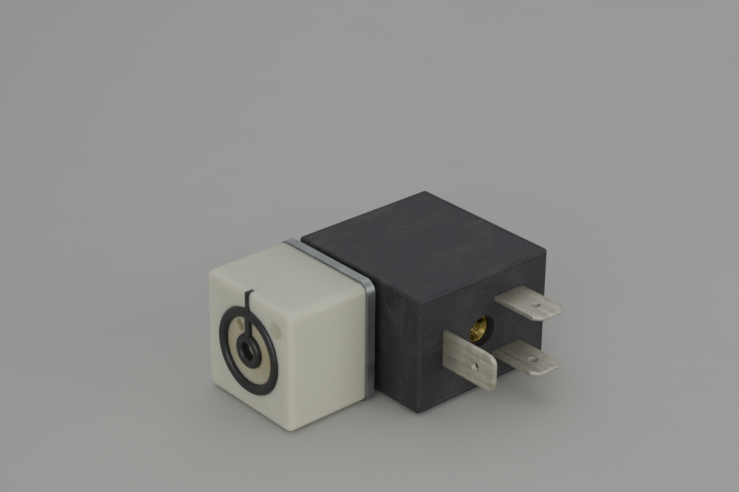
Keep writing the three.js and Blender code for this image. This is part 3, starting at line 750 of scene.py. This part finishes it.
def chamber_cutters():
    """Chamber, nozzle and ports, taken from the pieces that fill them."""
    s = sizes()
    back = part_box("valve_body")[1].x
    ring_low, ring_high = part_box("body_seal_ring")
    recess = (ring_high.y - ring_low.y) / 2 + FIT
    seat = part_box("seat_disc")[0].x
    floor = seat - s.nozzle_height
    wall = s.chamber
    profile = [
        (0, 0), (0, s.nozzle_lip), (floor - seat, s.nozzle_foot), (floor - seat, wall),
        (ring_low.x - seat, wall), (ring_low.x - seat, recess), (back + MM - seat, recess),
        (back + MM - seat, 0),
    ]
    chamber = bmesh.new()
    add_turned(chamber, profile, at(seat), X, steps=96)
    orifice = bmesh.new()
    add_rod(orifice, at(PORT_FACE - MM), at(seat + MM), s.orifice, 64)
    inlet = bmesh.new()
    place = inlet_place()
    add_rod(inlet, place - X * MM, Vector((floor + s.inlet_break, place.y, place.z)), s.inlet, 64)
    cutters = [chamber, orifice, inlet]
    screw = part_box("flange_screw_1")
    for offset in screw_places():
        hole = bmesh.new()
        tip = screw[0].x - s.tip_room
        add_rod(hole, at(tip) + offset, at(back + MM) + offset, s.thread_hole, 48)
        cutters.append(hole)
    return cutters


def corner_marks():
    """Shallow round ejector marks near the corners of the port face."""
    s = sizes()
    for offset in screw_places():
        mark = bmesh.new()
        centre = at(PORT_FACE - MM) + offset * MARK_SPREAD
        add_rod(mark, centre, centre + X * (MM + s.corner_mark_depth), s.corner_mark, 64)
        yield mark


class VALVE_OT_valve_body(bpy.types.Operator):
    """Model the moulded valve body with its grooves, ports, chamber and screw holes"""

    bl_idname = "valve.valve_body"
    bl_label = "Valve body"

    def execute(self, context):
        s = sizes()
        low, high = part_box("valve_body")
        bm = bmesh.new()
        add_block(bm, low, high)
        bevel(bm, [e for e in bm.edges if along(e, X)], s.body_corner, 8)
        bevel(bm, [e for e in bm.edges if on_plane(e, 0, low.x)], s.body_fillet, 6)
        body = plain_object("valve_body_moulding", bm)
        combine(body, [*chamber_cutters(), *groove_cutters(), *corner_marks()], "DIFFERENCE")
        smooth_faces(body, 40)
        finish_piece(body, "valve", "nylon_natural", nylon_finish(), "valve_body")
        return {"FINISHED"}


def bead_profile(outer, width, proud, depth, shoulder, steps=6):
    """Section of a seal ring as (station, radius): flat foot, straight sides, rounded crown."""
    inner = outer - width
    profile = [(depth, inner), (depth, outer)]
    for centre, start in ((outer - shoulder, 0), (inner + shoulder, 90)):
        for step in range(steps + 1):
            turn = math.radians(start + 90 * step / steps)
            station = -proud + shoulder - shoulder * math.sin(turn)
            profile.append((station, centre + shoulder * math.cos(turn)))
    return profile


class VALVE_OT_port_seal(bpy.types.Operator):
    """Model the one-piece face seal: two rounded rings joined by a tapering rib"""

    bl_idname = "valve.port_seal"
    bl_label = "Port seal"

    def execute(self, context):
        s = sizes()
        proud = PORT_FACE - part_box("port_seal")[0].x
        bm = bmesh.new()
        outer = bead_profile(s.seal_outer, s.seal_outer_width, proud, s.seal_depth, s.bead_shoulder)
        add_turned(bm, outer, at(PORT_FACE), X, steps=160)
        seal = plain_object("face_seal", bm)
        inner_ring, rib = bmesh.new(), bmesh.new()
        inner = bead_profile(s.seal_inner, s.seal_inner_width, proud, s.seal_depth, s.bead_shoulder)
        add_turned(inner_ring, inner, at(PORT_FACE), X, steps=128)
        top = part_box("valve_body")[1].z
        add_rib(rib, PORT_FACE - s.rib_proud, PORT_FACE + s.seal_depth, 0, top)
        combine(seal, [inner_ring, rib], "UNION")
        soften(seal, 0.12 * MM, 3, 40)
        finish_piece(seal, "valve", "seal_rubber", rubber_finish("seal_rubber"), "port_seal")
        return {"FINISHED"}


# ---------------------------------------------------------------- flange

class VALVE_OT_flange(bpy.types.Operator):
    """Model the punched steel flange with rounded corners and screw holes"""

    bl_idname = "valve.flange"
    bl_label = "Flange"

    def execute(self, context):
        s = sizes()
        low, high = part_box("flange_plate")
        bm = bmesh.new()
        add_block(bm, low, high)
        bevel(bm, [e for e in bm.edges if along(e, X)], s.plate_corner, 10)
        plate = plain_object("steel_flange", bm)
        bore = bmesh.new()
        add_rod(bore, at(low.x - MM), at(high.x + MM), s.plate_bore)
        cutters = [bore]
        for offset in screw_places():
            hole = bmesh.new()
            add_rod(hole, at(low.x - MM) + offset, at(high.x + MM) + offset, s.plate_hole, 48)
            cutters.append(hole)
        combine(plate, cutters, "DIFFERENCE")
        soften(plate, 0.16 * MM, 3, 40)
        finish_piece(plate, "valve", "flange_zinc", zinc_finish(), "flange_plate")
        return {"FINISHED"}


# ---------------------------------------------------------------- blades and insert

def blade_object(name, node, tip_size, tip_segments, hole_from_tip, thin_axis):
    """Blade from its node's box: corners shaped at the tip, coined edges, one hole."""
    low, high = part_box(node)
    s = sizes()
    thin = Vector([1.0 if n == thin_axis else 0.0 for n in range(3)])
    bm = bmesh.new()
    add_block(bm, low, high)
    tip_corners = [e for e in bm.edges if along(e, thin) and on_plane(e, 1, low.y)]
    bevel(bm, tip_corners, tip_size, tip_segments)
    tip_rim = [
        e for e in bm.edges
        if not along(e, thin) and all(v.co.y < low.y + tip_size + 1e-7 for v in e.verts)
    ]
    bevel(bm, tip_rim, s.tip_chamfer, 1)
    blade = plain_object(name, bm)
    centre = (low + high) / 2
    centre.y = low.y + hole_from_tip
    hole = bmesh.new()
    reach = thin * 2 * MM
    add_rod(hole, centre - reach, centre + reach, s.blade_hole, 48)
    combine(blade, [hole], "DIFFERENCE")
    soften(blade, s.blade_edge, 2, 40)
    return blade


class VALVE_OT_terminals(bpy.types.Operator):
    """Model the earth blade and the two power blades"""

    bl_idname = "valve.terminals"
    bl_label = "Terminals"

    def execute(self, context):
        s = sizes()
        material = tin_finish("plated_blade", 1)
        earth = blade_object("earth_blade", "earth_terminal", s.earth_tip, 6, s.earth_hole, 0)
        finish_piece(earth, "coil", "terminal_plate", material, "earth_terminal")
        for number in (1, 2):
            node = f"power_terminal_{number}"
            power = blade_object(f"power_blade_{number}", node, s.power_tip, 1, s.power_hole, 2)
            finish_piece(power, "coil", "terminal_plate", material, node)
        return {"FINISHED"}


def add_thread(bm, centre, axis, start, turns, pitch, radius, height, steps=48):
    """Helical ridge of triangular section that stands in from the wall of a bore."""
    axis = Vector(axis)
    side = axis.orthogonal().normalized()
    points = [(0, radius + 0.05 * MM), (pitch * 0.82, radius + 0.05 * MM), (pitch * 0.41, radius - height)]
    verts = [bm.verts.new(centre + axis * (start + station) + side * r) for station, r in points]
    face = bm.faces.new(verts)
    bmesh.ops.spin(
        bm, geom=[face], cent=centre, axis=axis, dvec=axis * pitch / steps,
        angle=turns * 2 * math.pi, steps=turns * steps, use_merge=False,
    )


class VALVE_OT_insert(bpy.types.Operator):
    """Model the brass insert with its countersink and thread"""

    bl_idname = "valve.insert"
    bl_label = "Brass insert"

    def execute(self, context):
        s = sizes()
        low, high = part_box("connector_insert")
        face = Vector((INSERT_AXIS.x, low.y, INSERT_AXIS.z))
        outer = (high.x - low.x) / 2
        depth = high.y - low.y
        bore, sink = s.insert_bore, s.insert_sink
        above, below = depth / 2 + s.insert_waist, depth / 2 - s.insert_waist
        waist = outer - s.insert_groove
        end = depth - s.insert_wall
        profile = [
            (depth, 0), (depth, outer), (above, outer), (above, waist), (below, waist),
            (below, outer), (0, outer), (0, bore + sink), (sink, bore), (end, bore), (end, 0),
        ]
        bm = bmesh.new()
        add_turned(bm, profile, face, Y, steps=96)
        insert = plain_object("brass_insert", bm)
        soften(insert, 0.05 * MM, 2, 35)
        material = metal_finish("turned_brass", colours().brass, 0.16, 0.32, squash=(1.0, 0.1, 1.0))
        finish_piece(insert, "coil", "insert_brass", material, "connector_insert")
        thread = bmesh.new()
        add_thread(thread, face, Y, s.thread_start, 8, s.thread_pitch, bore + 0.02 * MM, s.thread_height)
        ridge = plain_object("insert_thread", thread)
        smooth_faces(ridge)
        finish_piece(ridge, "coil", "insert_brass", material)
        return {"FINISHED"}


# ---------------------------------------------------------------- studio

class VALVE_OT_stage(bpy.types.Operator):
    """Set up the pale floor, the soft lights and the camera"""

    bl_idname = "valve.stage"
    bl_label = "Studio"

    def execute(self, context):
        studio = context.scene.valve_studio
        self.floor()
        self.world(studio.sky)
        self.lights(studio)
        self.camera(studio)
        return {"FINISHED"}

    def floor(self):
        bm = bmesh.new()
        bmesh.ops.create_grid(bm, x_segments=2, y_segments=2, size=3.0)
        mesh = bpy.data.meshes.new("studio_floor")
        bm.to_mesh(mesh)
        bm.free()
        obj = bpy.data.objects.new("studio_floor", mesh)
        bpy.context.scene.collection.objects.link(obj)
        finish = Finish("floor_paper", colours().floor, 0.75)
        finish.tint(finish.ramp(finish.noise(55, 3, 0.6), 0.35, 0.7), shade(colours().floor, 0.97), 0.7)
        # Painted shade: the floor darkens towards the far left, away from the lights.
        leftward = finish.node("ShaderNodeVectorMath", operation="DOT_PRODUCT")
        finish.link(finish.coords, leftward.inputs[0])
        leftward.inputs[1].default_value = (-0.75, 0.66, 0)
        far_left_shade = finish.ramp(leftward.outputs["Value"], 0.0, 140 * MM)
        finish.tint(far_left_shade, shade(colours().floor, 0.84))
        finish.bump(finish.noise(1100, 3, 0.6), 0.02 * MM)
        obj.data.materials.append(finish.material)

    def world(self, strength):
        world = bpy.data.worlds.new("studio_light")
        world.use_nodes = True
        background = world.node_tree.nodes["Background"]
        background.inputs["Color"].default_value = (0.95, 0.97, 1.0, 1.0)
        background.inputs["Strength"].default_value = strength
        bpy.context.scene.world = world

    def lights(self, studio):
        lamps = [
            ("key", studio.key, 0.9, (0.15, 0.25, 0.75)),
            ("fill", studio.fill, 0.7, (-0.63, -0.4, 0.27)),
            ("side", studio.side, 0.6, (0.3, -0.7, 0.22)),
        ]
        for name, power, size, place in lamps:
            data = bpy.data.lights.new(f"{name}_light", "AREA")
            data.shape = "SQUARE"
            data.size = size
            data.energy = power
            lamp = bpy.data.objects.new(f"{name}_light", data)
            lamp.location = place
            lamp.rotation_euler = (-Vector(place)).to_track_quat("-Z", "Y").to_euler()
            bpy.context.scene.collection.objects.link(lamp)

    def camera(self, studio):
        data = bpy.data.cameras.new("studio_camera")
        data.sensor_width = 36.0
        data.lens = studio.lens
        data.clip_start = 0.01
        data.clip_end = 20.0
        camera = bpy.data.objects.new("studio_camera", data)
        a, e = studio.azimuth, studio.elevation
        back = Vector((math.sin(a) * math.cos(e), -math.cos(a) * math.cos(e), math.sin(e)))
        aim = at(PORT_FACE) + CAMERA_AIM
        camera.location = aim + back * studio.distance
        camera.rotation_mode = "QUATERNION"
        facing = (-back).to_track_quat("-Z", "Y")
        camera.rotation_quaternion = facing @ Quaternion((0, 0, 1), studio.roll)
        bpy.context.scene.collection.objects.link(camera)
        bpy.context.scene.camera = camera


# ---------------------------------------------------------------- panel and registration

OPERATORS = (
    VALVE_OT_inner_parts,
    VALVE_OT_coil_housing,
    VALVE_OT_valve_body,
    VALVE_OT_port_seal,
    VALVE_OT_flange,
    VALVE_OT_terminals,
    VALVE_OT_insert,
    VALVE_OT_stage,
)


class VALVE_PT_panel(bpy.types.Panel):
    bl_idname = "VALVE_PT_panel"
    bl_label = "Solenoid valve"
    bl_space_type = "VIEW_3D"
    bl_region_type = "UI"
    bl_category = "Valve"

    def draw(self, context):
        column = self.layout.column(align=True)
        for operator in OPERATORS:
            column.operator(operator.bl_idname)
        for settings in ("valve_sizes", "valve_colours", "valve_studio"):
            group = getattr(context.scene, settings)
            box = self.layout.box()
            for name in group.bl_rna.properties.keys():
                if name not in ("rna_type", "name"):
                    box.prop(group, name)


GROUPS = {"valve_sizes": ValveSizes, "valve_colours": ValveColours, "valve_studio": ValveStudio}


def register():
    for cls in (*GROUPS.values(), *OPERATORS, VALVE_PT_panel):
        bpy.utils.register_class(cls)
    for name, cls in GROUPS.items():
        setattr(bpy.types.Scene, name, bpy.props.PointerProperty(type=cls))


def unregister():
    for name in GROUPS:
        delattr(bpy.types.Scene, name)
    for cls in reversed((*GROUPS.values(), *OPERATORS, VALVE_PT_panel)):
        bpy.utils.unregister_class(cls)


def main():
    register()
    for operator in OPERATORS:
        group, name = operator.bl_idname.split(".")
        getattr(getattr(bpy.ops, group), name)()


if __name__ == "__main__":
    main()
